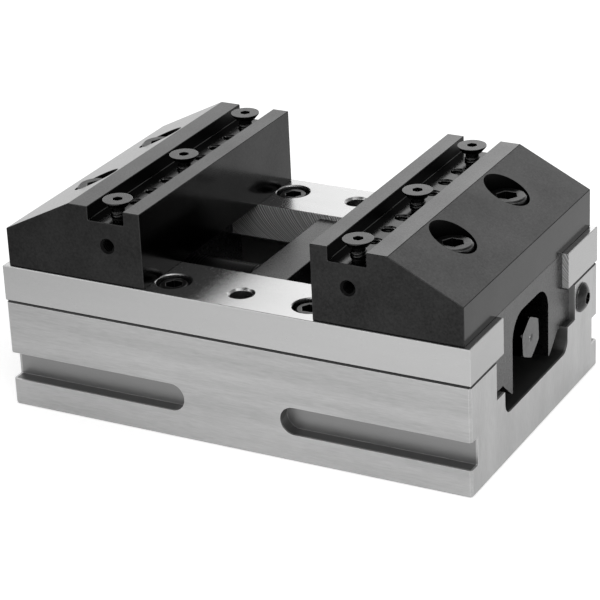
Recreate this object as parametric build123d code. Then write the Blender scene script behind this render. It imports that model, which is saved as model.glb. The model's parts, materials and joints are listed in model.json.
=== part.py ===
from build123d import *
import os
from math import cos, radians, tan

# Frame: X along the jaw travel, -Y towards the front, Z up, origin under the middle of the base.
# Everything is in millimetres.

# Base block
length = 249.0
width = 152.4
base_height = 56.2
corner_chamfer = 1.1
edge_chamfer = 0.8

# Lengthwise channel: a wide upper space for the feet and a deeper pocket below it
channel_width = 95.0
ledge_height = 36.7
pocket_width = 76.2
pocket_floor = 24.2
pocket_fillet = 6.0

# Clamping grooves in the two long sides, open at the ends of the base
groove_bottom = 14.0
groove_height = 14.4
groove_depth = 7.0
groove_end_from_centre = 26.0

# Guide rails
rail_thickness = 19.0
rail_gap = 78.2
rail_edge = 0.3

# The row of fasteners and holes along each rail, a little inside the middle of the wall below it
rail_hole_inset = 0.85
inner_rail_screw_station = 36.7
outer_rail_screw_from_end = 20.5
deck_hole_d = 11.1
deck_hole_chamfer = 1.1

# Screws that hold the rails
rail_screw_d = 9.5
rail_screw_head_d = 14.3
rail_screw_head_h = 9.5
rail_screw_length = 30.0
rail_screw_hex = 7.9
rail_counterbore_d = 17.4
rail_counterbore_depth = 10.8
counterbore_chamfer = 0.5

# Dowels between rail and base
dowel_d = 8.0
dowel_length = 20.0

# Centre block, its bearing saddle and the screws under them
block_length = 19.9
block_top_below_rail = 2.3
block_tongue_width = 60.0
block_screw_offset = 22.5
block_screw_length = 26.0
saddle_width = 30.0
saddle_screw_end_gap = 3.5
under_screw_d = 8.0
under_screw_head_d = 13.0
under_screw_head_h = 8.0
under_screw_hex = 6.0
under_counterbore_d = 14.0
under_counterbore_depth = 9.0

# Leadscrew, one piece, with a thread of each hand; its collars clear the carriers when the jaws meet
screw_axis_height = 47.5
screw_thread_d = 25.4
journal_d = 18.0
collar_d = 40.0
collar_thickness = 6.0
collar_to_carrier = 0.2
thread_end_taper = 1.5
hex_across_flats = 19.05
hex_length = 22.2
hex_turned_by = 34.0
hex_end_chamfer = 1.0
centre_drill_d = 4.5
centre_drill_depth = 0.6

# Carriers, which run in the channel and hold the jaws
end_setback = 3.3
boss_floor_gap = 3.7
foot_corner_inset = 5.1
arch_width = 43.4
arch_leg_tip = 1.0
arch_rise = 19.0
arch_radius = 12.5
arch_depth = 26.0

# Jaws
jaw_length = 76.2
jaw_width = 149.8
jaw_height = 38.1
jaw_outer_height = 19.6
jaw_flat_length = 39.3
jaw_edge = 0.25
jaw_groove_from_face = 8.9
jaw_groove_width = 19.7
jaw_groove_depth = 7.0

# Screws that hold the jaws to the carriers
jaw_screw_from_face = 51.1
jaw_screw_offset = 30.8
jaw_screw_d = 12.7
jaw_screw_head_d = 19.05
jaw_screw_head_h = 12.7
jaw_screw_length = 44.4
jaw_screw_hex = 9.5
jaw_counterbore_d = 21.9
jaw_counterbore_height = 16.75

# Key between jaw and carrier
key_width = 12.7
key_height = 9.6
key_length = 60.0
key_from_face = 30.0

# Flat head screws and tapped holes along the jaw groove
grip_screw_spacing = 62.8
grip_screw_d = 7.9
grip_screw_head_d = 14.4
grip_screw_head_cone = 82.0
grip_screw_rim = 0.6
grip_screw_length = 15.9
grip_screw_tip_edge = 0.7
grip_screw_stands_proud = 0.9
grip_screw_hex = 4.8
grip_screw_socket_depth = 2.9
grip_hole_depth = 8.2
tapped_hole_d = 6.6
tapped_hole_chamfer = 0.7
tapped_hole_pitch = 15.0
tapped_hole_depth = 14.0

# Tapped hole in each end face of the jaws
side_hole_height = 19.15
side_hole_depth = 15.0

# Button head screws in the ends of the rear wall
end_screw_from_channel = 8.1
end_screw_below_rail = 10.6
end_screw_head_d = 15.0
end_screw_head_h = 3.8
end_screw_rim = 0.6
end_screw_d = 9.0
end_screw_length = 12.0
end_screw_hex = 5.6
end_screw_socket_depth = 2.3

# Shared by the cap screws
cap_head_edge = 0.9
screw_tip_edge = 0.8
cap_socket_share = 0.5

# Clearances
way_clearance = 0.05
ledge_clearance = 0.3
running_clearance = 0.05
fit_clearance = 0.05
screw_hole_clearance = 0.4
jaw_screw_hole_clearance = 0.8
tip_clearance = 2.0
overcut = 10.0

# Sizes that follow from the ones above
rail_top = base_height + rail_thickness
rail_width = (width - rail_gap) / 2
rail_middle = (width + rail_gap) / 4
rail_hole_offset = (width + channel_width) / 4 - rail_hole_inset
outer_rail_screw_station = length / 2 - outer_rail_screw_from_end
rail_dowel_station = (inner_rail_screw_station + outer_rail_screw_station) / 2
rail_screw_seat = rail_top - rail_counterbore_depth
jaw_bottom = rail_top + way_clearance
jaw_top = jaw_bottom + jaw_height
jaw_outer_x = length / 2 - end_setback
jaw_face_x = jaw_outer_x - jaw_length
jaw_groove_x = jaw_face_x + jaw_groove_from_face
groove_middle_x = jaw_groove_x + jaw_groove_width / 2
jaw_groove_floor = jaw_top - jaw_groove_depth
jaw_screw_x = jaw_face_x + jaw_screw_from_face
jaw_screw_seat = jaw_bottom + jaw_counterbore_height
key_x = jaw_face_x + key_from_face
collar_outer_x = block_length / 2 + running_clearance + collar_thickness
carrier_inner_x = jaw_face_x + collar_outer_x + collar_to_carrier
carrier_length = jaw_outer_x - carrier_inner_x
boss_bottom = pocket_floor + boss_floor_gap
arch_top = screw_axis_height + arch_rise
journal_bottom = screw_axis_height - journal_d / 2
saddle_screw_length = journal_bottom - under_counterbore_depth - saddle_screw_end_gap
end_screw_y = channel_width / 2 + end_screw_from_channel
end_screw_z = base_height - end_screw_below_rail
on_floor = (Align.CENTER, Align.CENTER, Align.MIN)
hanging = (Align.CENTER, Align.CENTER, Align.MAX)


def upright_hole(diameter, bottom, top):
    return Pos(0, 0, bottom) * Cylinder(diameter / 2, top - bottom, align=on_floor)


def mouth_chamfer(hole_d, size):
    """A cone that breaks the edge of a hole whose mouth is at Z 0 and faces up."""
    return Pos(0, 0, -size) * Cone(hole_d / 2, hole_d / 2 + 2 * size, 2 * size, align=on_floor)


def tapped_hole(diameter, depth, edge):
    """A blind hole that opens upwards at Z 0, with a chamfered mouth."""
    return upright_hole(diameter, -depth, overcut) + mouth_chamfer(diameter, edge)


def hex_socket(across_flats, depth):
    """A hexagonal recess that opens upwards at Z 0."""
    outline = RegularPolygon(across_flats / 2, 6, major_radius=False)
    return Pos(0, 0, -depth) * extrude(outline, amount=depth + overcut)


def cap_screw(shank_d, head_d, head_h, shank_length, hex_size):
    """A socket head cap screw that points down, with its head seated at Z 0."""
    head = Cylinder(head_d / 2, head_h, align=on_floor)
    head = chamfer(head.faces().sort_by(Axis.Z)[-1].edges(), cap_head_edge)
    shank = Cylinder(shank_d / 2, shank_length, align=hanging)
    shank = chamfer(shank.faces().sort_by(Axis.Z)[0].edges(), screw_tip_edge)
    return head + shank - Pos(0, 0, head_h) * hex_socket(hex_size, head_h * cap_socket_share)


def counterbored_hole(hole_d, bore_d, below, above):
    """A clearance hole below Z 0 and a counterbore above it."""
    return upright_hole(hole_d, -below, 0) + upright_hole(bore_d, 0, above)


def rail_screw_places(side):
    """Where the four rail screws of one side stand, from left to right."""
    stations = (inner_rail_screw_station, outer_rail_screw_station)
    places = [(end * station, side * rail_hole_offset) for station in stations for end in (-1, 1)]
    return sorted(places)


def make_base():
    body = Box(length, width, base_height, align=on_floor)
    body = chamfer(body.edges().filter_by(Axis.Z), corner_chamfer)
    body = chamfer(body.faces().sort_by(Axis.Z)[-1].edges(), edge_chamfer)
    body = chamfer(body.faces().sort_by(Axis.Z)[0].edges(), edge_chamfer)
    body -= Pos(0, 0, ledge_height) * Box(length + overcut, channel_width, base_height, align=on_floor)
    body -= channel_pocket()
    screw_depth = rail_screw_length - (rail_thickness - rail_counterbore_depth) + tip_clearance
    for side in (-1, 1):
        deck = Pos(0, side * rail_hole_offset, 0)
        body -= deck * upright_hole(deck_hole_d, -overcut, base_height + overcut)
        for x, y in rail_screw_places(side):
            hole = upright_hole(rail_screw_d + 2 * fit_clearance, -screw_depth, overcut)
            body -= Pos(x, y, base_height) * hole
        for end in (-1, 1):
            body -= clamping_groove(side, end)
            dowel = Pos(end * rail_dowel_station, side * rail_hole_offset, base_height)
            body -= dowel * upright_hole(dowel_d, -dowel_length / 2, overcut)
    for offset in (-block_screw_offset, 0, block_screw_offset):
        body -= Pos(0, offset, under_counterbore_depth) * under_hole()
    for end in (-1, 1):
        body -= end_screw_place(end) * upright_hole(
            end_screw_d + 2 * fit_clearance, -end_screw_length - tip_clearance, overcut)
    return body


def channel_pocket():
    pocket = Pos(0, 0, pocket_floor) * Box(length + overcut, pocket_width, base_height, align=on_floor)
    floor_edges = pocket.faces().sort_by(Axis.Z)[0].edges().filter_by(Axis.X)
    return fillet(floor_edges, pocket_fillet)


def clamping_groove(side, end):
    """One groove with a half-round inner end, cut in from a long side."""
    inner = groove_end_from_centre + groove_height / 2
    outer = length / 2 + overcut
    run = Box(outer - inner, 2 * groove_depth, groove_height, align=(Align.MIN, Align.CENTER, Align.CENTER))
    nose = Rot(90, 0, 0) * Cylinder(groove_height / 2, 2 * groove_depth)
    cut = Pos(inner, 0, 0) * (run + nose)
    if end < 0:
        cut = mirror(cut, about=Plane.YZ)
    return Pos(0, side * width / 2, groove_bottom + groove_height / 2) * cut


def under_hole():
    """A hole for a screw put in from the underside, with its head seat at Z 0."""
    hole = upright_hole(under_screw_d + screw_hole_clearance, 0, pocket_floor)
    return hole + upright_hole(under_counterbore_d, -under_counterbore_depth - overcut, 0)


def make_rail(side):
    rail = Pos(0, 0, base_height) * Box(length, rail_width, rail_thickness, align=on_floor)
    rail = chamfer(rail.faces().sort_by(Axis.Z)[-1].edges(), rail_edge)
    bottom_edges = rail.faces().sort_by(Axis.Z)[0].edges()
    inner_edge = bottom_edges.filter_by(Axis.X).sort_by(Axis.Y)[0]
    outer_edges = ShapeList([edge for edge in bottom_edges if edge != inner_edge])
    rail = Pos(0, rail_middle, 0) * chamfer(outer_edges, edge_chamfer)
    for x, y in rail_screw_places(1):
        rail -= Pos(x, y, rail_screw_seat) * counterbored_hole(
            rail_screw_d + screw_hole_clearance, rail_counterbore_d,
            rail_thickness, rail_counterbore_depth + overcut)
        rail -= Pos(x, y, rail_top) * mouth_chamfer(rail_counterbore_d, counterbore_chamfer)
    deck = Pos(0, rail_hole_offset, rail_top)
    rail -= deck * tapped_hole(deck_hole_d, rail_thickness + overcut, deck_hole_chamfer)
    for end in (-1, 1):
        dowel = Pos(end * rail_dowel_station, rail_hole_offset, base_height)
        rail -= dowel * upright_hole(dowel_d, -overcut, dowel_length / 2)
    return rail if side > 0 else mirror(rail, about=Plane.XZ)


def make_rail_screw(x, y):
    screw = cap_screw(rail_screw_d, rail_screw_head_d, rail_screw_head_h, rail_screw_length, rail_screw_hex)
    return Pos(x, y, rail_screw_seat) * screw


def make_rail_dowel(end, side):
    place = Pos(end * rail_dowel_station, side * rail_hole_offset, base_height)
    return place * Cylinder(dowel_d / 2, dowel_length)


def journal_bore():
    return Rot(0, 90, 0) * Cylinder(journal_d / 2 + running_clearance, block_length + overcut)


def bearing_slot():
    """The slot through the centre block, round over the journal and open below for the saddle."""
    room = Box(block_length + overcut, saddle_width + 2 * fit_clearance, screw_axis_height, align=hanging)
    return Pos(0, 0, screw_axis_height) * (journal_bore() + room)


def make_centre_block():
    top = rail_top - block_top_below_rail
    neck_width = rail_gap - 2 * fit_clearance
    neck = Pos(0, 0, ledge_height) * Box(block_length, neck_width, top - ledge_height, align=on_floor)
    neck = chamfer(neck.faces().sort_by(Axis.Z)[-1].edges(), rail_edge)
    shoulder_width = channel_width - 2 * fit_clearance
    shoulder_height = base_height - ledge_height
    shoulders = Pos(0, 0, ledge_height) * Box(block_length, shoulder_width, shoulder_height, align=on_floor)
    tongue_height = ledge_height - pocket_floor
    tongue = Pos(0, 0, pocket_floor) * Box(block_length, block_tongue_width, tongue_height, align=on_floor)
    block = neck + shoulders + tongue - bearing_slot()
    thread_depth = block_screw_length - (pocket_floor - under_counterbore_depth) + tip_clearance
    for side in (-1, 1):
        place = Pos(0, side * block_screw_offset, pocket_floor)
        block -= place * upright_hole(under_screw_d + 2 * fit_clearance, -overcut, thread_depth)
    return block


def make_bearing_saddle():
    height = screw_axis_height - fit_clearance - pocket_floor
    saddle = Pos(0, 0, pocket_floor) * Box(block_length, saddle_width, height, align=on_floor)
    saddle -= Pos(0, 0, screw_axis_height) * journal_bore()
    return saddle - upright_hole(under_screw_d + 2 * fit_clearance, 0, screw_axis_height)


def make_under_screw(offset, shank_length):
    screw = cap_screw(under_screw_d, under_screw_head_d, under_screw_head_h, shank_length, under_screw_hex)
    return Pos(0, offset, under_counterbore_depth) * Rot(180, 0, 0) * screw


def end_screw_place(end):
    """Where a button head screw seats on an end of the rear wall, with Z pointing outwards."""
    return Pos(end * length / 2, end_screw_y, end_screw_z) * Rot(0, end * 90, 0)


def make_end_screw(end):
    head_r = end_screw_head_d / 2
    dome_h = end_screw_head_h - end_screw_rim
    dome_r = (head_r ** 2 + dome_h ** 2) / (2 * dome_h)
    head = Cylinder(head_r, end_screw_head_h, align=on_floor)
    head &= Pos(0, 0, end_screw_head_h - dome_r) * Sphere(dome_r)
    shank = Cylinder(end_screw_d / 2, end_screw_length, align=hanging)
    screw = head + shank - Pos(0, 0, end_screw_head_h) * hex_socket(end_screw_hex, end_screw_socket_depth)
    return end_screw_place(end) * screw


def make_leadscrew():
    inner = collar_outer_x - collar_thickness
    hex_start = jaw_outer_x - hex_length
    thread_r = screw_thread_d / 2
    outline = Polyline(
        (0, 0), (0, journal_d / 2), (inner, journal_d / 2), (inner, collar_d / 2),
        (collar_outer_x, collar_d / 2), (collar_outer_x, thread_r), (hex_start - thread_end_taper, thread_r),
        (hex_start, thread_r - thread_end_taper), (hex_start, 0), close=True)
    right_half = revolve(make_face(outline), Axis.X) + hex_end(hex_start)
    screw = right_half + mirror(right_half, about=Plane.YZ)
    return Pos(0, 0, screw_axis_height) * screw


def hex_end(hex_start):
    """The hexagon on the right end, with its corners turned off at the tip."""
    outline = Rot(0, 0, hex_turned_by) * RegularPolygon(hex_across_flats / 2, 6, major_radius=False)
    prism = extrude(Plane.YZ.offset(hex_start) * outline, amount=hex_length)
    corner_r = hex_across_flats / 2 / cos(radians(30))
    turned = Cylinder(corner_r, hex_length, align=on_floor)
    turned = chamfer(turned.faces().sort_by(Axis.Z)[-1].edges(), hex_end_chamfer)
    drill = Cone(0, centre_drill_d / 2, centre_drill_depth, align=hanging)
    turned -= Pos(0, 0, hex_length) * drill
    return prism & Pos(hex_start, 0, 0) * Rot(0, 90, 0) * turned


def make_carrier():
    """The right-hand carrier."""
    boss_half = arch_width / 2 + arch_leg_tip
    corner_half = pocket_width / 2 - foot_corner_inset
    foot_half = channel_width / 2 - way_clearance
    foot_bottom = ledge_height + ledge_clearance
    foot_top = base_height - way_clearance
    neck_half = rail_gap / 2 - way_clearance
    half = [(boss_half, boss_bottom), (corner_half, foot_bottom), (foot_half, foot_bottom),
            (foot_half, foot_top), (neck_half, foot_top), (neck_half, jaw_bottom)]
    outline = half + [(-y, z) for y, z in reversed(half)]
    section = make_face(Polyline(*outline, close=True))
    carrier = extrude(Plane.YZ.offset(carrier_inner_x) * section, amount=carrier_length)
    carrier -= arch_opening()
    axis = Pos(carrier_inner_x, 0, screw_axis_height) * Rot(0, 90, 0)
    carrier -= axis * upright_hole(screw_thread_d + 2 * running_clearance, -overcut, carrier_length)
    carrier -= key_seat()
    thread_depth = jaw_screw_length - jaw_counterbore_height + tip_clearance
    for side in (-1, 1):
        place = Pos(jaw_screw_x, side * jaw_screw_offset, jaw_bottom)
        carrier -= place * upright_hole(jaw_screw_d + 2 * fit_clearance, -thread_depth, overcut)
    return carrier


def arch_opening():
    """The round-topped opening that lets a socket reach the hexagon, open at the bottom."""
    bottom = boss_bottom - overcut
    height = arch_top - bottom
    opening = Pos(0, bottom + height / 2) * Rectangle(arch_width, height)
    opening = fillet(opening.vertices().sort_by(Axis.Y)[-2:], arch_radius)
    return extrude(Plane.YZ.offset(jaw_outer_x - arch_depth) * opening, amount=arch_depth + overcut)


def key_block(clearance):
    return Pos(key_x, 0, jaw_bottom) * Box(
        key_width + 2 * clearance, key_length + 2 * clearance, key_height + 2 * clearance)


def key_seat():
    return key_block(fit_clearance)


def make_jaw():
    """The right-hand jaw."""
    groove_far_x = jaw_groove_x + jaw_groove_width
    outline = Polyline(
        (jaw_face_x, jaw_bottom), (jaw_outer_x, jaw_bottom), (jaw_outer_x, jaw_bottom + jaw_outer_height),
        (jaw_face_x + jaw_flat_length, jaw_top), (groove_far_x, jaw_top), (groove_far_x, jaw_groove_floor),
        (jaw_groove_x, jaw_groove_floor), (jaw_groove_x, jaw_top), (jaw_face_x, jaw_top), close=True)
    jaw = extrude(Plane.XZ * make_face(outline), amount=jaw_width / 2, both=True)
    jaw = chamfer(jaw.edges(), jaw_edge)
    for side in (-1, 1):
        jaw -= Pos(jaw_screw_x, side * jaw_screw_offset, jaw_screw_seat) * counterbored_hole(
            jaw_screw_d + jaw_screw_hole_clearance, jaw_counterbore_d,
            jaw_counterbore_height + overcut, jaw_height)
        mouth = Pos(groove_middle_x, side * jaw_width / 2, jaw_bottom + side_hole_height)
        side_hole = Rot(-side * 90, 0, 0) * tapped_hole(tapped_hole_d, side_hole_depth, tapped_hole_chamfer)
        jaw -= mouth * side_hole
        for step in (-1, 0, 1):
            offset = side * grip_screw_spacing / 2 + step * tapped_hole_pitch
            place = Pos(groove_middle_x, offset, jaw_groove_floor)
            jaw -= place * tapped_hole(tapped_hole_d, tapped_hole_depth, tapped_hole_chamfer)
    for row in (-1, 0, 1):
        place = Pos(groove_middle_x, row * grip_screw_spacing, jaw_groove_floor)
        jaw -= place * upright_hole(grip_screw_d + 2 * fit_clearance, -grip_hole_depth, overcut)
    return jaw - key_seat()


def make_jaw_screw(side):
    screw = cap_screw(jaw_screw_d, jaw_screw_head_d, jaw_screw_head_h, jaw_screw_length, jaw_screw_hex)
    return Pos(jaw_screw_x, side * jaw_screw_offset, jaw_screw_seat) * screw


def make_grip_screw(row):
    """A flat head screw, turned down until its head stands a little above the jaw."""
    head_r = grip_screw_head_d / 2
    shank_r = grip_screw_d / 2
    cone_h = (head_r - shank_r) / tan(radians(grip_screw_head_cone / 2))
    outline = Polyline(
        (0, 0), (head_r, 0), (head_r, -grip_screw_rim), (shank_r, -grip_screw_rim - cone_h),
        (shank_r, grip_screw_tip_edge - grip_screw_length),
        (shank_r - grip_screw_tip_edge, -grip_screw_length), (0, -grip_screw_length), close=True)
    screw = revolve(Plane.XZ * make_face(outline), Axis.Z)
    screw -= hex_socket(grip_screw_hex, grip_screw_socket_depth)
    return Pos(groove_middle_x, row * grip_screw_spacing, jaw_top + grip_screw_stands_proud) * screw


def both_ends(name, shape):
    """The right-hand piece and its mirror image on the left."""
    return {f"right_{name}": shape, f"left_{name}": mirror(shape, about=Plane.YZ)}


ends = {"left": -1, "right": 1}
sides = {"front": -1, "rear": 1}
rows = {"front": -1, "middle": 0, "rear": 1}
nodes = {"base": make_base(), "centre_block": make_centre_block(), "bearing_saddle": make_bearing_saddle(),
         "saddle_screw": make_under_screw(0, saddle_screw_length), "leadscrew": make_leadscrew()}
for side_name, side in sides.items():
    nodes[f"{side_name}_rail"] = make_rail(side)
    nodes[f"block_screw_{side_name}"] = make_under_screw(side * block_screw_offset, block_screw_length)
    for number, (x, y) in enumerate(rail_screw_places(side), start=1):
        nodes[f"{side_name}_rail_screw_{number}"] = make_rail_screw(x, y)
    for end_name, end in ends.items():
        nodes[f"{side_name}_rail_dowel_{end_name}"] = make_rail_dowel(end, side)
    nodes.update(both_ends(f"jaw_screw_{side_name}", make_jaw_screw(side)))
for end_name, end in ends.items():
    nodes[f"{end_name}_end_screw"] = make_end_screw(end)
nodes.update(both_ends("carrier", make_carrier()))
nodes.update(both_ends("jaw", make_jaw()))
nodes.update(both_ends("jaw_key", key_block(0)))
for row_name, row in rows.items():
    nodes.update(both_ends(f"grip_screw_{row_name}", make_grip_screw(row)))

os.makedirs("parts", exist_ok=True)
for name, shape in nodes.items():
    export_step(shape, f"parts/{name}.step")
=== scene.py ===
import json
import math

import bmesh
import bpy
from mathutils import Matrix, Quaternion, Vector


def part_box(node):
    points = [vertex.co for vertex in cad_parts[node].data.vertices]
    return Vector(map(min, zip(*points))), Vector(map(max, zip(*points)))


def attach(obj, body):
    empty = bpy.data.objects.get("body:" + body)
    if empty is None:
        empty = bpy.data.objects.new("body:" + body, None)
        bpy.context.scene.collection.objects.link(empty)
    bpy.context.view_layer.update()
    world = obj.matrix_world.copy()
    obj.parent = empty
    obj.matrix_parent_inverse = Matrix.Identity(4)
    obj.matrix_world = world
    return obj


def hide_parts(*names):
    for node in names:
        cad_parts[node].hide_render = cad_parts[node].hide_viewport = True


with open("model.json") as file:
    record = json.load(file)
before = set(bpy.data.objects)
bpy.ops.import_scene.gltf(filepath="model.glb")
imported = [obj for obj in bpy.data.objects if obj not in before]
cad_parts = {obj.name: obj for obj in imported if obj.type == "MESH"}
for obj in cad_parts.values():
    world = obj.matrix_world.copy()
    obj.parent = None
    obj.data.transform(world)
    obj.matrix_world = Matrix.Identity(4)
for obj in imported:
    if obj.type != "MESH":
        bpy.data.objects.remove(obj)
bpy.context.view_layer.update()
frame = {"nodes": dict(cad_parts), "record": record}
parts = frame["nodes"]
slot_of = {part["node"]: part["material_slot"] for part in frame["record"]["subparts"]}
MM = 0.001

# The photo's camera: its eye, the point it looks at, its roll and its focal length
PHOTO_SIDE_PX = 600
FOCAL_LENGTH_PX = 2539.1
SENSOR_WIDTH_MM = 36.0
CAMERA_EYE = Vector((548.6, -1002.0, 564.1)) * MM
CAMERA_AIM = Vector((-4.2, 3.6, 43.7)) * MM
CAMERA_ROLL = math.radians(-2.69)

# Studio
FLOOR_SIDE = 24.0
FLOOR_COLOUR = (0.9, 0.9, 0.9, 1)
FLOOR_LIFT = 0.4
FLOOR_LIFT_MIRRORED = 0.17
WHITE = (1, 1, 1, 1)
LAMP_AIM = Vector((0, 0, 80)) * MM

# The floor as the vise mirrors it: painted shade dims it towards the left, and it is full again behind the
# vise
FLOOR_DIMMED = 0.7
FLOOR_DIM_FROM_TO = (-0.27, -0.05)
FLOOR_FULL_FROM_TO = (-0.08, 0.0)

# The sky as the vise mirrors it. On its left side a bright panel reaches up to a shade, which
# begins at a plane that leans over the vise.
SKY_LIGHT = 0.78
SKY_TOP = 0.4
SKY_TOP_FROM_TO = (0.5, 0.9)
SKY_BEHIND = 1.15
SKY_BEHIND_FROM_TO = (0.2, 0.7)
SKY_RIGHT = 0.4
SKY_RIGHT_FROM_TO = (0.15, 0.45)
SKY_LEFT_FROM_TO = (-0.12, 0.0)
SHADE_ANGLE = math.radians(56)
SHADE_NORMAL = (math.sin(SHADE_ANGLE), 0, math.cos(SHADE_ANGLE))
SHADE_FROM_TO = (0.0, 0.05)
SKY_SHADED = 0.1
PANEL_FROM_TO = (-0.15, -0.07)
SKY_PANEL = 1.2

# Leadscrew: its thread, its collars and its hexagons
SCREW_PITCH = 25.4 / 14 * MM
SCREW_THREAD_R = 12.7 * MM
SCREW_THREAD_DEPTH = 1.1 * MM
COLLAR_LENGTH = 6.05 * MM
HEX_LENGTH = 22.2 * MM
HEX_CHAMFER = 1.2 * MM
HEX_SHARPNESS = 0.7

# Flat head screws: the thread and the heights over the tip between which it runs
GRIP_PITCH = 25.4 / 18 * MM
GRIP_THREAD_R = 3.95 * MM
GRIP_THREAD_DEPTH = 0.65 * MM
GRIP_TIP = 0.5 * MM
GRIP_THREAD_START = 1.2 * MM
GRIP_THREAD_END = 10.2 * MM

# Jaws: the groove along the top, the counterbores and the tapped holes
JAW_GROOVE_HALF = 9.85 * MM
JAW_GROOVE_DEPTH = 7.0 * MM
JAW_COUNTERBORE_R = 10.95 * MM
SIDE_HOLE_HEIGHT = 19.15 * MM
TAPPED_R = 3.3 * MM
TAPPED_THREAD_DEPTH = 0.6 * MM
TAPPED_RUN = 8.5 * MM
TAPPED_CHAMFER = 0.7 * MM
TAPPED_SPACING = 15.0 * MM

# Base and rails: the chamfers, the channel and the marks of the milling cutter
SEAM_HALF = 0.8 * MM
RIM = 1.15 * MM
CHANNEL_REACH = 60 * MM
CUTTER_RADIUS = 38 * MM
CUTTER_CENTRE_ABOVE = 0.4 * CUTTER_RADIUS
CUTTER_PITCH = 1.5 * MM
CUTTER_MARK_DEPTH = 0.15 * MM

# Greys of the places on the base and the rails that aren't ground, and how much of them shows
SEAM_GREY = 0.09
GROOVE_WALL_GREY = 0.24
CHANNEL_WALL_GREY = 0.4
# Painted shade on the upward floors of the milled places
MILLED_FLOOR_SHADE_GREY = 0.07
MILLED_GRAIN = 0.2
RAIL_END_GREY = 0.3
RAIL_END_SHARE = 0.35

# What a face's place adds to its roughness, and the painted light and painted shade that it gives the jaws'
# oxide
RAIL_INNER_DULL = 0.5
JAW_TOP_PAINTED_LIGHT_GAIN = 2.15
# Near black painted as shade in the jaws' groove walls, counterbores and side holes
JAW_RECESS_SHADE_GREY = 0.01
JAW_INSIDE_DULL = 0.3

# How near a face must be to a plane to lie in it, and a normal to an axis to look along it
SKIN = 0.1 * MM
ON_SHANK = 0.02 * MM
WELD = 0.001 * MM
SQUARE_ON = 0.9


def make_camera():
    data = bpy.data.cameras.new("photo_camera")
    data.sensor_width = SENSOR_WIDTH_MM
    data.lens = FOCAL_LENGTH_PX / PHOTO_SIDE_PX * SENSOR_WIDTH_MM
    camera = bpy.data.objects.new("photo_camera", data)
    bpy.context.scene.collection.objects.link(camera)
    level = (CAMERA_AIM - CAMERA_EYE).to_track_quat("-Z", "Y")
    camera.rotation_mode = "QUATERNION"
    camera.rotation_quaternion = level @ Quaternion((0, 0, 1), CAMERA_ROLL)
    camera.location = CAMERA_EYE
    bpy.context.scene.camera = camera


def set_inputs(tree, node, values):
    """Links each value that is a socket and writes each that is not."""
    for name, value in values.items():
        if isinstance(value, bpy.types.NodeSocket):
            tree.links.new(value, node.inputs[name])
        else:
            node.inputs[name].default_value = value


def add_node(tree, kind, values=None, **settings):
    node = tree.nodes.new(kind)
    for name, value in settings.items():
        setattr(node, name, value)
    set_inputs(tree, node, values or {})
    return node


def calc(tree, operation, *values):
    return add_node(tree, "ShaderNodeMath", dict(enumerate(values)), operation=operation).outputs[0]


def vector_calc(tree, operation, *values):
    return add_node(tree, "ShaderNodeVectorMath", dict(enumerate(values)), operation=operation)


def noise(tree, place, detail, roughness):
    """Noise of one cell per unit of the place that it is given."""
    values = {"Vector": place, "Scale": 1.0, "Detail": detail, "Roughness": roughness}
    return add_node(tree, "ShaderNodeTexNoise", values).outputs["Fac"]


def remap(tree, value, from_low, from_high, to_low, to_high):
    values = {"Value": value, "From Min": from_low, "From Max": from_high,
              "To Min": to_low, "To Max": to_high}
    return add_node(tree, "ShaderNodeMapRange", values).outputs["Result"]


def blend_colours(tree, factor, first, second):
    node = add_node(tree, "ShaderNodeMix", data_type="RGBA")
    open_inputs = {socket.name: socket.identifier for socket in node.inputs if socket.enabled}
    for name, value in {"Factor": factor, "A": first, "B": second}.items():
        socket = next(s for s in node.inputs if s.identifier == open_inputs[name])
        if isinstance(value, bpy.types.NodeSocket):
            tree.links.new(value, socket)
        else:
            socket.default_value = value
    return next(s for s in node.outputs if s.enabled)


def new_group(name, kind, inputs, outputs):
    """A node group with named inputs (kind, default) and outputs (kind)."""
    group = bpy.data.node_groups.new(name, kind)
    for label, (socket_kind, default) in inputs.items():
        socket = group.interface.new_socket(label, in_out="INPUT", socket_type=socket_kind)
        if default is not None:
            socket.default_value = default
    for label, socket_kind in outputs.items():
        group.interface.new_socket(label, in_out="OUTPUT", socket_type=socket_kind)
    given = group.nodes.new("NodeGroupInput").outputs
    wanted = group.nodes.new("NodeGroupOutput").inputs
    return group, given, wanted


def place_group(tree, group, values):
    node = tree.nodes.new("ShaderNodeGroup")
    node.node_tree = group
    set_inputs(tree, node, values)
    return node.outputs


SHADING = "ShaderNodeTree"
SHAPING = "GeometryNodeTree"
NUMBER = "NodeSocketFloat"
TRIPLE = "NodeSocketVector"


def build_worn_edge_group():
    """Where an outside edge has been rounded, which the finishes paint paler as polished wear and as a
    painted glint, and the normal that rounds it.
    """
    group, given, wanted = new_group(
        "worn edge", SHADING, {"Radius": (NUMBER, 0.0004), "Width": (NUMBER, 0.06)},
        {"Mask": NUMBER, "Normal": TRIPLE})
    rounded = add_node(group, "ShaderNodeBevel", {"Radius": given["Radius"]}, samples=6).outputs[0]
    flat = add_node(group, "ShaderNodeNewGeometry").outputs["True Normal"]
    alike = vector_calc(group, "DOT_PRODUCT", rounded, flat).outputs["Value"]
    away = calc(group, "SUBTRACT", 1.0, alike)
    group.links.new(remap(group, away, 0.0, given["Width"], 0.0, 1.0), wanted["Mask"])
    group.links.new(rounded, wanted["Normal"])
    return group


def build_grain_group():
    """The fine lines of a grinding wheel or a brush, over broader and fainter bands."""
    group, given, wanted = new_group(
        "ground grain", SHADING,
        {"Place": (TRIPLE, None), "Lines": (TRIPLE, (1, 1, 1)), "Bands": (TRIPLE, (1, 1, 1))},
        {"Lines": NUMBER, "Bands": NUMBER})
    for label, detail, roughness in (("Lines", 4.0, 0.65), ("Bands", 3.0, 0.55)):
        place = vector_calc(group, "MULTIPLY", given["Place"], given[label]).outputs[0]
        group.links.new(noise(group, place, detail, roughness), wanted[label])
    return group


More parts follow.
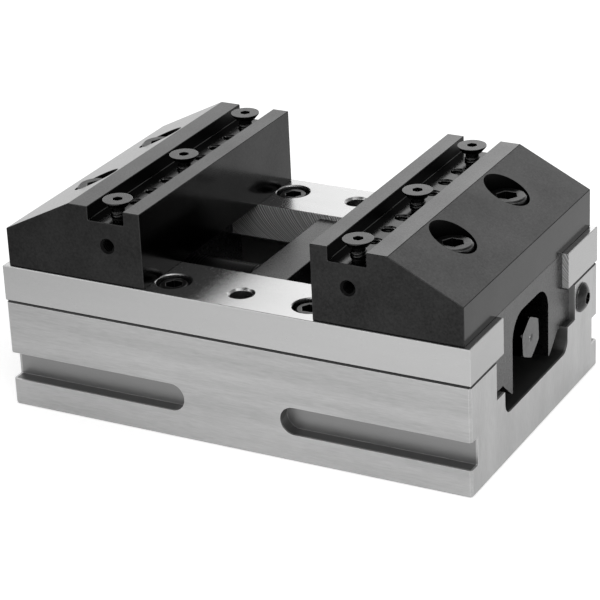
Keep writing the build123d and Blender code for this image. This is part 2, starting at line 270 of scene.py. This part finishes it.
def build_cutter_arcs_group():
    """The curved feed marks of a milling cutter that passed along a face."""
    group, given, wanted = new_group(
        "cutter arcs", SHADING,
        {"Along": (NUMBER, 0), "Across": (NUMBER, 0), "Middle": (NUMBER, 0), "Cutter Radius": (NUMBER, 1),
         "Pitch": (NUMBER, 1)},
        {"Height": NUMBER, "Streak": NUMBER})
    off = calc(group, "SUBTRACT", given["Across"], given["Middle"])
    square = calc(group, "MULTIPLY", given["Cutter Radius"], given["Cutter Radius"])
    reach = calc(group, "SUBTRACT", square, calc(group, "MULTIPLY", off, off))
    arc = calc(group, "ADD", given["Along"], calc(group, "SQRT", calc(group, "MAXIMUM", reach, 0.0)))
    turns = calc(group, "DIVIDE", arc, given["Pitch"])
    line = add_node(group, "ShaderNodeCombineXYZ", {"X": calc(group, "MULTIPLY", turns, 1.7)}).outputs[0]
    uneven = noise(group, line, 3.0, 0.7)
    wave = calc(group, "SINE", calc(group, "MULTIPLY", turns, 2 * math.pi))
    group.links.new(calc(group, "ADD", calc(group, "MULTIPLY", wave, 0.3), uneven), wanted["Height"])
    depth = calc(group, "ADD", uneven, calc(group, "MULTIPLY", wave, 0.08))
    group.links.new(remap(group, depth, 0.4, 0.66, 0.2, 1.0), wanted["Streak"])
    return group


def build_thread_group():
    """A helical ridge of diamond section, one on each point of the mesh that it is given, along
    the point's own axis."""
    group, given, wanted = new_group(
        "thread ridge", SHAPING,
        {"Places": ("NodeSocketGeometry", None), "Radius": (NUMBER, 1), "Ridge Height": (NUMBER, 1),
         "Ridge Half Width": (NUMBER, 1), "Pitch": (NUMBER, 1), "Length": (NUMBER, 1),
         "Steps a Turn": ("NodeSocketInt", 24), "Right Hand": ("NodeSocketBool", True),
         "Finish": ("NodeSocketMaterial", None)},
        {"Threads": "NodeSocketGeometry"})
    helix = add_node(group, "GeometryNodeCurveSpiral", {
        "Resolution": given["Steps a Turn"],
        "Rotations": calc(group, "DIVIDE", given["Length"], given["Pitch"]),
        "Start Radius": given["Radius"], "End Radius": given["Radius"], "Height": given["Length"],
        "Reverse": given["Right Hand"]}).outputs[0]
    upright = add_node(group, "GeometryNodeSetCurveNormal", {"Curve": helix}, mode="Z_UP").outputs[0]
    diamond = add_node(group, "GeometryNodeCurvePrimitiveCircle", {"Resolution": 4, "Radius": 1.0}).outputs[0]
    section = add_node(group, "ShaderNodeCombineXYZ", {
        "X": given["Ridge Height"], "Y": given["Ridge Half Width"], "Z": 1.0}).outputs[0]
    shaped = add_node(group, "GeometryNodeTransform", {"Geometry": diamond, "Scale": section}).outputs[0]
    ridge = add_node(group, "GeometryNodeCurveToMesh", {
        "Curve": upright, "Profile Curve": shaped, "Fill Caps": True}).outputs[0]
    axis = add_node(
        group, "GeometryNodeInputNamedAttribute", {"Name": "axis"}, data_type="FLOAT_VECTOR").outputs[0]
    turned = add_node(group, "FunctionNodeAlignRotationToVector", {"Vector": axis}, axis="Z").outputs[0]
    copies = add_node(group, "GeometryNodeInstanceOnPoints", {
        "Points": given["Places"], "Instance": ridge, "Rotation": turned}).outputs[0]
    solid = add_node(group, "GeometryNodeRealizeInstances", {"Geometry": copies}).outputs[0]
    coated = add_node(group, "GeometryNodeSetMaterial", {"Geometry": solid, "Material": given["Finish"]})
    group.links.new(coated.outputs[0], wanted["Threads"])
    return group


EDGE_WEAR_AND_GLINT = build_worn_edge_group()
GRAIN = build_grain_group()
CUTTER_ARCS = build_cutter_arcs_group()
THREAD = build_thread_group()


def grey(level):
    return (level, level, level, 1)


def middle_of(node):
    low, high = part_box(node)
    return (low + high) / 2


def new_material(name):
    material = bpy.data.materials.new(name)
    material.use_nodes = True
    tree = material.node_tree
    tree.nodes.clear()
    shader = tree.nodes.new("ShaderNodeBsdfPrincipled")
    output = tree.nodes.new("ShaderNodeOutputMaterial")
    tree.links.new(shader.outputs[0], output.inputs["Surface"])
    place = tree.nodes.new("ShaderNodeTexCoord").outputs["Object"]
    return material, tree, shader, place


def linked_to(socket):
    return socket.links[0].from_socket


def finish_metal(name, light, dark, worn, roughness, lines, bands, depth, speckle, edge_radius=0.3,
                 on_ends=(1, 1, 1)):
    """A machined metal: two tones mixed by its unevenness, edges painted paler as polished wear and as a
    painted glint, and a fine grain, which is squeezed by other amounts on the faces that look along X. Edge
    radius and depth are in mm.
    Gives what a special finish needs to build on."""
    material, tree, shader, place = new_material(name)
    more = tuple(times - 1 for times in on_ends)
    squeeze = vector_calc(tree, "MULTIPLY_ADD", looks_squarely(tree, "X"), more, (1, 1, 1)).outputs[0]
    squeezed = vector_calc(tree, "MULTIPLY", place, squeeze).outputs[0]
    grain = place_group(tree, GRAIN, {"Place": squeezed, "Lines": lines, "Bands": bands})
    edge = place_group(tree, EDGE_WEAR_AND_GLINT, {"Radius": edge_radius * MM})
    broad = remap(tree, grain["Bands"], 0.3, 0.7, 0.0, 1.0 - speckle)
    fine = remap(tree, grain["Lines"], 0.3, 0.7, 0.0, speckle)
    body = blend_colours(tree, calc(tree, "ADD", broad, fine), grey(dark), grey(light))
    # Edges painted paler: partly polished wear, partly a painted glint
    colour = blend_colours(tree, edge["Mask"], body, grey(worn))
    tree.links.new(colour, shader.inputs["Base Color"])
    tree.links.new(remap(tree, grain["Lines"], 0.2, 0.8, *roughness), shader.inputs["Roughness"])
    shader.inputs["Metallic"].default_value = 1.0
    bump = add_node(tree, "ShaderNodeBump", {
        "Height": grain["Lines"], "Normal": edge["Normal"], "Strength": 1.0, "Distance": depth * MM})
    tree.links.new(bump.outputs[0], shader.inputs["Normal"])
    return material, tree, shader, place


def facing(tree, axis):
    """How far a face looks along an axis, from -1 to 1."""
    normal = add_node(tree, "ShaderNodeNewGeometry").outputs["True Normal"]
    return add_node(tree, "ShaderNodeSeparateXYZ", {"Vector": normal}).outputs[axis]


def looks_squarely(tree, axis):
    """Where a face looks along an axis, either way."""
    return calc(tree, "GREATER_THAN", calc(tree, "ABSOLUTE", facing(tree, axis)), SQUARE_ON)


def looks_along(tree, axis, start, end):
    """From 0 to 1 as a face turns towards an axis, either way along it."""
    return remap(tree, calc(tree, "ABSOLUTE", facing(tree, axis)), start, end, 0.0, 1.0)


def in_seam(tree, height):
    """Where the chamfers along the seam between the rails and the base lie."""
    from_seam = calc(tree, "ABSOLUTE", calc(tree, "SUBTRACT", height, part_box("front_rail")[0].z))
    inside = calc(tree, "LESS_THAN", from_seam, SEAM_HALF - SKIN)
    slanted = calc(tree, "SUBTRACT", 1.0, looks_squarely(tree, "Z"))
    return calc(tree, "MULTIPLY", inside, slanted)


def darken(tree, shader, mask, level):
    body = linked_to(shader.inputs["Base Color"])
    tree.links.new(blend_colours(tree, mask, body, grey(level)), shader.inputs["Base Color"])


def dull(tree, shader, mask, more):
    """Adds to the roughness where the mask is."""
    smooth = linked_to(shader.inputs["Roughness"])
    rough = calc(tree, "ADD", smooth, calc(tree, "MULTIPLY", mask, more))
    tree.links.new(rough, shader.inputs["Roughness"])


def split(tree, place):
    """X, Y and Z of a place, and the distances of X and Y from the middle of the vise."""
    axes = add_node(tree, "ShaderNodeSeparateXYZ", {"Vector": place}).outputs
    return (axes["X"], axes["Y"], axes["Z"],
            calc(tree, "ABSOLUTE", axes["X"]), calc(tree, "ABSOLUTE", axes["Y"]))


def in_round_hole(tree, first, second, middle, radius):
    """Where two coordinates lie inside a circle."""
    across = calc(tree, "SUBTRACT", first, middle[0])
    up = calc(tree, "SUBTRACT", second, middle[1])
    square = calc(tree, "ADD", calc(tree, "MULTIPLY", across, across), calc(tree, "MULTIPLY", up, up))
    return calc(tree, "LESS_THAN", square, radius * radius)


def make_base_steel():
    """Ground outside, duller where it was milled, and darkest on the upward milled floors, which is painted
    shade.
    """
    material, tree, shader, place = finish_metal(
        name="base_steel", light=0.58, dark=0.4, worn=0.75, roughness=(0.34, 0.46),
        lines=(150, 900, 1600), bands=(8, 30, 110), depth=0.006, speckle=0.5, on_ends=(1, 1.6, 0.12))
    low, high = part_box("base")
    _, _, z, from_middle, from_centre_line = split(tree, place)
    outside = calc(tree, "GREATER_THAN", from_middle, high.x - RIM)
    for reached in (
            calc(tree, "GREATER_THAN", from_centre_line, high.y - RIM),
            calc(tree, "LESS_THAN", z, low.z + RIM),
            calc(tree, "GREATER_THAN", z, high.z - SKIN)):
        outside = calc(tree, "MAXIMUM", outside, reached)
    # Painted shade: the milled faces that look up are painted dark
    painted_floor_shade = remap(tree, facing(tree, "Z"), 0.2, 0.9, 0.0, 1.0)
    ground = linked_to(shader.inputs["Base Color"])
    in_channel = calc(tree, "LESS_THAN", from_centre_line, CHANNEL_REACH)
    walls = blend_colours(tree, in_channel, grey(GROOVE_WALL_GREY), grey(CHANNEL_WALL_GREY))
    milled = blend_colours(tree, painted_floor_shade, walls, grey(MILLED_FLOOR_SHADE_GREY))
    milled = blend_colours(tree, MILLED_GRAIN, milled, ground)
    tree.links.new(blend_colours(tree, outside, milled, ground), shader.inputs["Base Color"])
    darken(tree, shader, in_seam(tree, z), SEAM_GREY)
    return material


def make_rail_steel():
    """Finely ground, with the arcs of a milling cutter left on the faces towards the screw."""
    material, tree, shader, place = finish_metal(
        name="rail_steel", light=0.55, dark=0.5, worn=0.8, roughness=(0.22, 0.29),
        lines=(500, 2500, 2500), bands=(8, 60, 60), depth=0.0006, speckle=0.5)
    x, _, z, _, from_centre_line = split(tree, place)
    low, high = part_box("rear_rail")
    inner = calc(tree, "LESS_THAN", from_centre_line, low.y + SKIN)
    marks = place_group(tree, CUTTER_ARCS, {
        "Along": x, "Across": z, "Middle": high.z + CUTTER_CENTRE_ABOVE,
        "Cutter Radius": CUTTER_RADIUS, "Pitch": CUTTER_PITCH})
    milled = blend_colours(tree, marks["Streak"], grey(1.0), grey(0.2))
    ground = linked_to(shader.inputs["Base Color"])
    ends = calc(tree, "MULTIPLY", looks_squarely(tree, "X"), RAIL_END_SHARE)
    ground = blend_colours(tree, ends, ground, grey(RAIL_END_GREY))
    tree.links.new(blend_colours(tree, inner, ground, milled), shader.inputs["Base Color"])
    dull(tree, shader, inner, RAIL_INNER_DULL)
    cut = add_node(tree, "ShaderNodeBump", {
        "Height": calc(tree, "MULTIPLY", inner, marks["Height"]),
        "Normal": linked_to(shader.inputs["Normal"]), "Strength": 1.0, "Distance": CUTTER_MARK_DEPTH})
    tree.links.new(cut.outputs[0], shader.inputs["Normal"])
    darken(tree, shader, in_seam(tree, z), SEAM_GREY)
    return material


def finish_oxide(name, light, dark, worn, roughness, grain, mottle, edge_radius=0.3):
    """Black oxide on steel, which has no direction."""
    return finish_metal(name, light, dark, worn, roughness, lines=(grain,) * 3, bands=(mottle,) * 3,
                        depth=0.004, speckle=0.6, edge_radius=edge_radius)


def scale_colour(tree, shader, mask, gain):
    """Multiplies the colour, by up to the gain where the mask is 1."""
    times = remap(tree, mask, 0.0, 1.0, 1.0, gain)
    body = linked_to(shader.inputs["Base Color"])
    scaled = add_node(tree, "ShaderNodeVectorMath", {0: body, "Scale": times}, operation="SCALE")
    tree.links.new(scaled.outputs[0], shader.inputs["Base Color"])


def make_plain_oxide(**values):
    return finish_oxide(**values)[0]


def make_oxide_with_painted_light(axis, start, end, gain, **values):
    """Black oxide with painted light: its faces along one axis are painted paler or darker by the gain."""
    material, tree, shader, _ = finish_oxide(**values)
    # Painted light or painted shade on the faces along the axis
    scale_colour(tree, shader, looks_along(tree, axis, start, end), gain)
    return material


def make_jaw_oxide():
    """Painted light makes the tops and slopes palest, and painted shade makes the groove walls, counterbores
    and side holes black; these are also dull.
    """
    material, tree, shader, place = finish_oxide(
        name="jaw_oxide", light=0.044, dark=0.018, worn=0.12, roughness=(0.13, 0.2), grain=900,
        mottle=40, edge_radius=0.1)
    low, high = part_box("right_jaw")
    _, _, z, from_middle, from_centre_line = split(tree, place)
    grip_x = middle_of("right_grip_screw_front").x
    cap_screw = middle_of("right_jaw_screw_rear")
    from_groove = calc(tree, "ABSOLUTE", calc(tree, "SUBTRACT", from_middle, grip_x))
    in_groove = calc(tree, "MULTIPLY", calc(tree, "LESS_THAN", from_groove, JAW_GROOVE_HALF + SKIN),
                     calc(tree, "LESS_THAN", z, high.z - SKIN))
    # Painted light: the faces that look up, outside the groove, are painted paler
    painted_light_tops = looks_along(tree, "Z", 0.8, 0.88)
    painted_light_tops = calc(tree, "MULTIPLY", painted_light_tops, calc(tree, "SUBTRACT", 1.0, in_groove))
    scale_colour(tree, shader, painted_light_tops, JAW_TOP_PAINTED_LIGHT_GAIN)
    # Painted shade: the groove's walls, the counterbores and the side holes are painted near black
    inside = calc(tree, "MULTIPLY", in_groove, looks_along(tree, "X", 0.8, 0.9))
    for across, up, middle, radius in (
            (from_middle, from_centre_line, (cap_screw.x, cap_screw.y), JAW_COUNTERBORE_R + SKIN),
            (from_middle, z, (grip_x, low.z + SIDE_HOLE_HEIGHT), TAPPED_R + TAPPED_CHAMFER)):
        hole = in_round_hole(tree, across, up, middle, radius)
        inside = calc(tree, "MAXIMUM", inside, hole)
    darken(tree, shader, inside, JAW_RECESS_SHADE_GREY)
    dull(tree, shader, inside, JAW_INSIDE_DULL)
    return material


def make_finishes():
    """One material for each of the slots that the sub-parts name."""
    return {
        "base_steel": make_base_steel(),
        "ground_steel": make_rail_steel(),
        "black_oxide_steel": make_jaw_oxide(),
        # Painted shade: the carriers' faces that look up or down are painted darker
        "machined_steel": make_oxide_with_painted_light(
            axis="Z", start=0.8, end=0.95, gain=0.6, name="carrier_oxide", light=0.11, dark=0.07,
            worn=0.25, roughness=(0.24, 0.32), grain=500, mottle=60),
        "black_screw_steel": make_plain_oxide(
            name="screw_oxide", light=0.06, dark=0.025, worn=0.2, roughness=(0.24, 0.4), grain=600,
            mottle=250, edge_radius=0.5),
        # Painted light: the flat heads' tops, which look up, are painted paler
        "grip_screw_steel": make_oxide_with_painted_light(
            axis="Z", start=0.9, end=0.97, gain=2.6, name="grip_screw_oxide", light=0.03, dark=0.015,
            worn=0.1, roughness=(0.2, 0.3), grain=900, mottle=200),
        "end_screw_steel": make_plain_oxide(
            name="end_screw_oxide", light=0.06, dark=0.035, worn=0.2, roughness=(0.22, 0.34), grain=600,
            mottle=200, edge_radius=0.5),
        # Painted light: the leadscrew's faces that look along X, the hexagon ends, are painted paler
        "screw_steel": make_oxide_with_painted_light(
            axis="X", start=0.9, end=0.95, gain=8.4, name="leadscrew_oxide", light=0.015, dark=0.007,
            worn=0.08, roughness=(0.14, 0.2), grain=700, mottle=90, edge_radius=0.12),
        "hardened_steel": make_plain_oxide(
            name="pin_steel", light=0.5, dark=0.42, worn=0.7, roughness=(0.2, 0.3), grain=700, mottle=60),
        "bearing_steel": make_plain_oxide(
            name="bearing_metal", light=0.4, dark=0.32, worn=0.6, roughness=(0.3, 0.4), grain=600,
            mottle=60)}


def new_piece(name, mesh, body, finish):
    """A finished mesh that rides on a body and takes a slot's finish."""
    mesh.materials.clear()
    mesh.materials.append(finish)
    piece = bpy.data.objects.new(name, mesh)
    bpy.context.scene.collection.objects.link(piece)
    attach(piece, body)
    return piece


def thread_ridges(places, axes, values):
    """The mesh of one thread ridge on each place, along its axis, with the group's input values."""
    points = bpy.data.meshes.new("thread_places")
    points.from_pydata(places, [], [])
    stored = points.attributes.new("axis", "FLOAT_VECTOR", "POINT")
    stored.data.foreach_set("vector", [number for axis in axes for number in axis])
    holder = bpy.data.objects.new("thread_places", points)
    bpy.context.scene.collection.objects.link(holder)
    modifier = holder.modifiers.new("threads", "NODES")
    modifier.node_group = THREAD
    for item in THREAD.interface.items_tree:
        if item.in_out == "INPUT" and item.name in values:
            modifier[item.identifier] = values[item.name]
    evaluated = holder.evaluated_get(bpy.context.evaluated_depsgraph_get())
    ridges = bpy.data.meshes.new_from_object(evaluated)
    bpy.data.objects.remove(holder)
    return ridges


def joined(meshes, name):
    """One mesh of several."""
    whole = bmesh.new()
    for mesh in meshes:
        whole.from_mesh(mesh)
    result = bpy.data.meshes.new(name)
    whole.to_mesh(result)
    whole.free()
    return result


def turned_down(node, old_radius, root_radius, axis, centre, span):
    """A copy of a screw's mesh whose plain shank is turned down to the root of its thread."""
    copy = bmesh.new()
    copy.from_mesh(parts[node].data)
    bmesh.ops.remove_doubles(copy, verts=copy.verts, dist=WELD)
    for vert in copy.verts:
        along = axis.dot(vert.co - centre)
        out = vert.co - centre - axis * along
        if abs(out.length - old_radius) < ON_SHANK and span[0] <= along <= span[1]:
            vert.co = centre + axis * along + out * (root_radius / old_radius)
    mesh = bpy.data.meshes.new(node + "_core")
    copy.to_mesh(mesh)
    copy.free()
    return mesh


def sharpen_hexagons(core, centre, face):
    """Spreads the round rim of each hexagon's end face most of the way out to the corners."""
    ring = [vert for vert in core.vertices if abs(vert.co.x) > face - HEX_CHAMFER]
    corner = max(((vert.co - centre).yz for vert in ring), key=lambda out: out.length)
    sixth = math.pi / 3
    for vert in ring:
        out = (vert.co - centre).yz
        if abs(vert.co.x) < face - SKIN or out.length < corner.length / 2:
            continue
        turn = (math.atan2(out.y, out.x) - math.atan2(corner.y, corner.x) + sixth / 2) % sixth - sixth / 2
        reach = corner.length * math.cos(sixth / 2) / math.cos(sixth / 2 - abs(turn))
        out *= 1 + HEX_SHARPNESS * (reach / out.length - 1)
        vert.co.y = centre.y + out.x
        vert.co.z = centre.z + out.y


def make_leadscrew(finish):
    """The leadscrew with its two fine threads, left hand on the right and right hand on the left."""
    low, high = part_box("leadscrew")
    centre = middle_of("leadscrew")
    axis = Vector((1, 0, 0))
    root = SCREW_THREAD_R - SCREW_THREAD_DEPTH
    collar_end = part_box("centre_block")[1].x + COLLAR_LENGTH
    core = turned_down("leadscrew", SCREW_THREAD_R, root, axis, centre, (low.x, high.x))
    sharpen_hexagons(core, centre, high.x)
    run = high.x - HEX_LENGTH - collar_end - SCREW_PITCH
    values = {"Radius": root, "Ridge Height": SCREW_THREAD_DEPTH, "Ridge Half Width": SCREW_PITCH / 2,
              "Pitch": SCREW_PITCH, "Length": run, "Steps a Turn": 48, "Finish": finish}
    meshes = [core]
    for end in (-1, 1):
        start = centre + axis * end * (collar_end + SCREW_PITCH / 2)
        meshes.append(thread_ridges([start], [axis * end], {**values, "Right Hand": end < 0}))
    piece = new_piece("threaded_leadscrew", joined(meshes, "threaded_leadscrew"), "leadscrew",
                      finish)
    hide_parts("leadscrew")


def make_grip_screw(side, row, finish):
    """A flat head screw with its thread, in place of the plain one."""
    node = f"{side}_grip_screw_{row}"
    low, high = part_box(node)
    tip = middle_of(node)
    tip.z = low.z
    axis = Vector((0, 0, 1))
    root = GRIP_THREAD_R - GRIP_THREAD_DEPTH
    core = turned_down(node, GRIP_THREAD_R, root, axis, tip, (GRIP_TIP, high.z - low.z))
    ridges = thread_ridges([tip + axis * GRIP_THREAD_START], [axis], {
        "Radius": root, "Ridge Height": GRIP_THREAD_DEPTH, "Ridge Half Width": GRIP_PITCH / 2.1,
        "Pitch": GRIP_PITCH, "Length": GRIP_THREAD_END - GRIP_THREAD_START, "Steps a Turn": 24,
        "Right Hand": True, "Finish": finish})
    piece = new_piece("threaded_" + node, joined([core, ridges], "threaded_" + node), side + "_slide",
                      finish)
    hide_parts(node)


def make_jaw_threads(side, finish):
    """The threads inside the tapped holes of one jaw."""
    low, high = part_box(side + "_jaw")
    first, second = (middle_of(f"{side}_grip_screw_{row}") for row in ("front", "middle"))
    groove_floor = high.z - JAW_GROOVE_DEPTH
    places = []
    axes = []
    for way in (-1, 1):
        for step in (-1, 0, 1):
            y = way * (second.y - first.y) / 2 + step * TAPPED_SPACING
            places.append((first.x, y, groove_floor - TAPPED_CHAMFER))
            axes.append((0, 0, -1))
        places.append((first.x, way * (high.y - TAPPED_CHAMFER), low.z + SIDE_HOLE_HEIGHT))
        axes.append((0, -way, 0))
    ridges = thread_ridges(places, axes, {
        "Radius": TAPPED_R, "Ridge Height": TAPPED_THREAD_DEPTH, "Ridge Half Width": GRIP_PITCH / 2.2,
        "Pitch": GRIP_PITCH, "Length": TAPPED_RUN, "Steps a Turn": 24, "Right Hand": True,
        "Finish": finish})
    new_piece(side + "_jaw_threads", ridges, side + "_slide", finish)


def make_floor():
    """A white floor, which reflections see dimmer than the camera does."""
    half = FLOOR_SIDE / 2
    mesh = bpy.data.meshes.new("floor")
    corners = [(-half, -half, 0), (half, -half, 0), (half, half, 0), (-half, half, 0)]
    mesh.from_pydata(corners, [], [(0, 1, 2, 3)])
    floor = bpy.data.objects.new("floor", mesh)
    bpy.context.scene.collection.objects.link(floor)
    material, tree, shader, place = new_material("floor_white")
    x, y = split(tree, place)[:2]
    # Painted shade on the floor, for reflections and bounced light only: dimmer towards the left
    tone = remap(tree, x, *FLOOR_DIM_FROM_TO, FLOOR_DIMMED, 1.0)
    tone = calc(tree, "MAXIMUM", tone, remap(tree, y, *FLOOR_FULL_FROM_TO, 0.0, 1.0))
    shader.inputs["Roughness"].default_value = 1.0
    shader.inputs["Specular IOR Level"].default_value = 0.0
    shader.inputs["Emission Color"].default_value = WHITE
    rays = add_node(tree, "ShaderNodeLightPath").outputs
    mirrored = calc(tree, "MULTIPLY", tone, FLOOR_LIFT_MIRRORED)
    mirrored = calc(tree, "MULTIPLY", seen_directly(tree), mirrored)
    lift = calc(tree, "MAXIMUM", mirrored, calc(tree, "MULTIPLY", rays["Is Camera Ray"], FLOOR_LIFT))
    tree.links.new(lift, shader.inputs["Emission Strength"])
    full = calc(tree, "MAXIMUM", tone, rays["Is Camera Ray"])
    tree.links.new(blend_colours(tree, full, grey(0), FLOOR_COLOUR), shader.inputs["Base Color"])
    mesh.materials.append(material)


def seen_directly(tree):
    """1 for rays of the camera, of reflections and through glass, 0 for those that only light."""
    rays = add_node(tree, "ShaderNodeLightPath").outputs
    seen = calc(tree, "MAXIMUM", rays["Is Camera Ray"], rays["Is Glossy Ray"])
    return calc(tree, "MAXIMUM", seen, rays["Is Transmission Ray"])


def make_sky():
    """An even light, which reflections see as a sky with a panel and a shade on the left."""
    world = bpy.data.worlds.new("studio_sky")
    world.use_nodes = True
    tree = world.node_tree
    tree.nodes.clear()
    way = add_node(tree, "ShaderNodeTexCoord").outputs["Generated"]
    axes = add_node(tree, "ShaderNodeSeparateXYZ", {"Vector": way}).outputs
    on_left = remap(tree, axes["X"], *SKY_LEFT_FROM_TO, 1.0, 0.0)
    over_left = vector_calc(tree, "DOT_PRODUCT", way, SHADE_NORMAL).outputs["Value"]
    panel = calc(tree, "MULTIPLY", remap(tree, over_left, *PANEL_FROM_TO, 0.0, SKY_PANEL), on_left)
    shade = calc(tree, "MULTIPLY", remap(tree, over_left, *SHADE_FROM_TO, 0.0, 1.0), on_left)
    level = remap(tree, axes["Z"], *SKY_TOP_FROM_TO, 1.0, SKY_TOP)
    for share in (
            remap(tree, axes["Y"], *SKY_BEHIND_FROM_TO, 1.0, SKY_BEHIND),
            calc(tree, "ADD", 1.0, panel),
            remap(tree, axes["X"], *SKY_RIGHT_FROM_TO, 1.0, SKY_RIGHT),
            remap(tree, shade, 0.0, 1.0, 1.0, SKY_SHADED)):
        level = calc(tree, "MULTIPLY", level, share)
    seen = seen_directly(tree)
    lit = calc(tree, "MULTIPLY", calc(tree, "SUBTRACT", 1.0, seen), SKY_LIGHT)
    strength = calc(tree, "ADD", lit, calc(tree, "MULTIPLY", seen, level))
    sky = add_node(tree, "ShaderNodeBackground", {"Color": WHITE, "Strength": strength})
    output = tree.nodes.new("ShaderNodeOutputWorld")
    tree.links.new(sky.outputs[0], output.inputs["Surface"])
    bpy.context.scene.world = world


def make_softbox(name, azimuth, elevation, distance, width, height, power):
    """A lamp at an angle from straight behind the vise (left is negative) and from the floor."""
    across, up = math.radians(azimuth), math.radians(elevation)
    way = Vector((math.sin(across) * math.cos(up), math.cos(across) * math.cos(up), math.sin(up)))
    data = bpy.data.lights.new(name, "AREA")
    data.shape = "RECTANGLE"
    data.size = width
    data.size_y = height
    data.energy = power
    lamp = bpy.data.objects.new(name, data)
    lamp.location = LAMP_AIM + way * distance
    lamp.rotation_mode = "QUATERNION"
    lamp.rotation_quaternion = (-way).to_track_quat("-Z", "Y")
    bpy.context.scene.collection.objects.link(lamp)


make_camera()
make_floor()
make_sky()
make_softbox(
    "front_right_softbox", azimuth=125, elevation=50, distance=1.6, width=1.2, height=0.9, power=5.0)
bpy.context.scene.view_settings.view_transform = "Standard"

finishes = make_finishes()
for name, part in parts.items():
    part.data.materials.clear()
    part.data.materials.append(finishes[slot_of[name]])
make_leadscrew(finishes[slot_of["leadscrew"]])
for side in ("left", "right"):
    make_jaw_threads(side, finishes[slot_of[side + "_jaw"]])
    for row in ("front", "middle", "rear"):
        make_grip_screw(side, row, finishes[slot_of[f"{side}_grip_screw_{row}"]])
